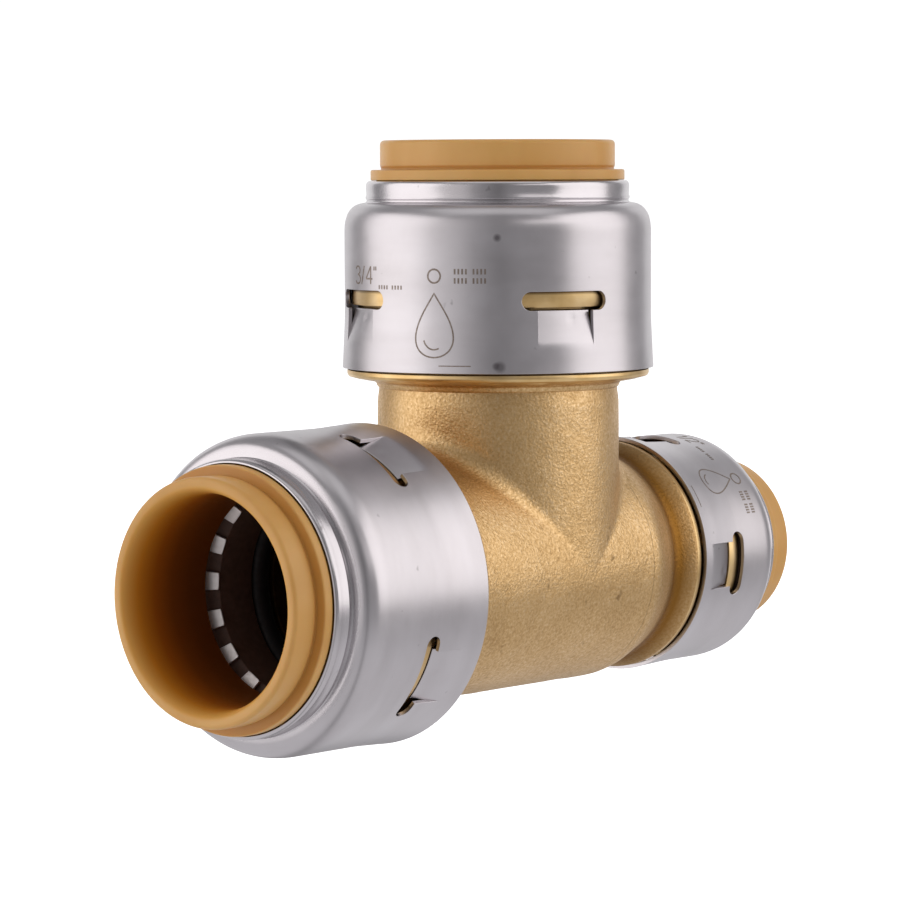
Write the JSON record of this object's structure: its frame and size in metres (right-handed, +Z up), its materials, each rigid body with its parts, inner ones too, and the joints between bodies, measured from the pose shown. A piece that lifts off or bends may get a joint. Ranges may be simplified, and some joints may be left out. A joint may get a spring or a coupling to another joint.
{
  "type": "push to connect fitting",
  "caption": "Push-fit reducing tee: cast brass body, three stainless collars with locking slots, and tan release rings pressed in to free a pipe.",
  "frame": {"origin": "where the run's axis and the branch's axis cross, inside the brass body", "axes": "+X along the run from the 3/4 inch inlet to the 1/2 inch outlet, +Z up along the 3/4 inch branch, +Y across"},
  "size_m": [0.0908, 0.035, 0.0657],
  "materials": {
    "brass": "sand-cast grain, machined ends",
    "stainless": "satin",
    "spring_steel": "bright",
    "tan_plastic": "moulded, semi-gloss",
    "brown_plastic": "moulded, matt",
    "black_rubber": "matt"
  },
  "bodies": {
    "tee": {"tee_body": "brass", "inlet_separator": "brown_plastic", "inlet_oring": "black_rubber", "branch_separator": "brown_plastic", "branch_oring": "black_rubber", "outlet_separator": "brown_plastic", "outlet_oring": "black_rubber"},
    "inlet_collar_body": {"inlet_collar": "stainless"},
    "inlet_release": {"inlet_release_ring": "tan_plastic"},
    "inlet_grip": {"inlet_grab_ring": "spring_steel", "inlet_brace_ring": "stainless"},
    "branch_collar_body": {"branch_collar": "stainless"},
    "branch_release": {"branch_release_ring": "tan_plastic"},
    "branch_grip": {"branch_grab_ring": "spring_steel", "branch_brace_ring": "stainless"},
    "outlet_collar_body": {"outlet_collar": "stainless"},
    "outlet_release": {"outlet_release_ring": "tan_plastic"},
    "outlet_grip": {"outlet_grab_ring": "spring_steel", "outlet_brace_ring": "stainless"}
  },
  "joints": [
    {"name": "inlet_collar_swivel", "type": "hinge", "parent": "tee", "child": "inlet_collar_body", "pos_m": [0, 0, 0], "axis": [-1, 0, 0], "continuous": true},
    {"name": "inlet_grip_swivel", "type": "hinge", "parent": "tee", "child": "inlet_grip", "pos_m": [0, 0, 0], "axis": [-1, 0, 0], "continuous": true},
    {"name": "inlet_release_press", "type": "slide", "parent": "inlet_collar_body", "child": "inlet_release", "axis": [1, 0, 0], "range_m": [0, 0.0011], "stiffness_N_per_m": 1500, "springref_m": -0.0005},
    {"name": "branch_collar_swivel", "type": "hinge", "parent": "tee", "child": "branch_collar_body", "pos_m": [0, 0, 0], "axis": [0, 0, 1], "continuous": true},
    {"name": "branch_grip_swivel", "type": "hinge", "parent": "tee", "child": "branch_grip", "pos_m": [0, 0, 0], "axis": [0, 0, 1], "continuous": true},
    {"name": "branch_release_press", "type": "slide", "parent": "branch_collar_body", "child": "branch_release", "axis": [0, 0, -1], "range_m": [0, 0.0011], "stiffness_N_per_m": 1500, "springref_m": -0.0005},
    {"name": "outlet_collar_swivel", "type": "hinge", "parent": "tee", "child": "outlet_collar_body", "pos_m": [0, 0, 0], "axis": [1, 0, 0], "continuous": true},
    {"name": "outlet_grip_swivel", "type": "hinge", "parent": "tee", "child": "outlet_grip", "pos_m": [0, 0, 0], "axis": [1, 0, 0], "continuous": true},
    {"name": "outlet_release_press", "type": "slide", "parent": "outlet_collar_body", "child": "outlet_release", "axis": [-1, 0, 0], "range_m": [0, 0.0011], "stiffness_N_per_m": 1500, "springref_m": -0.0005}
  ]
}
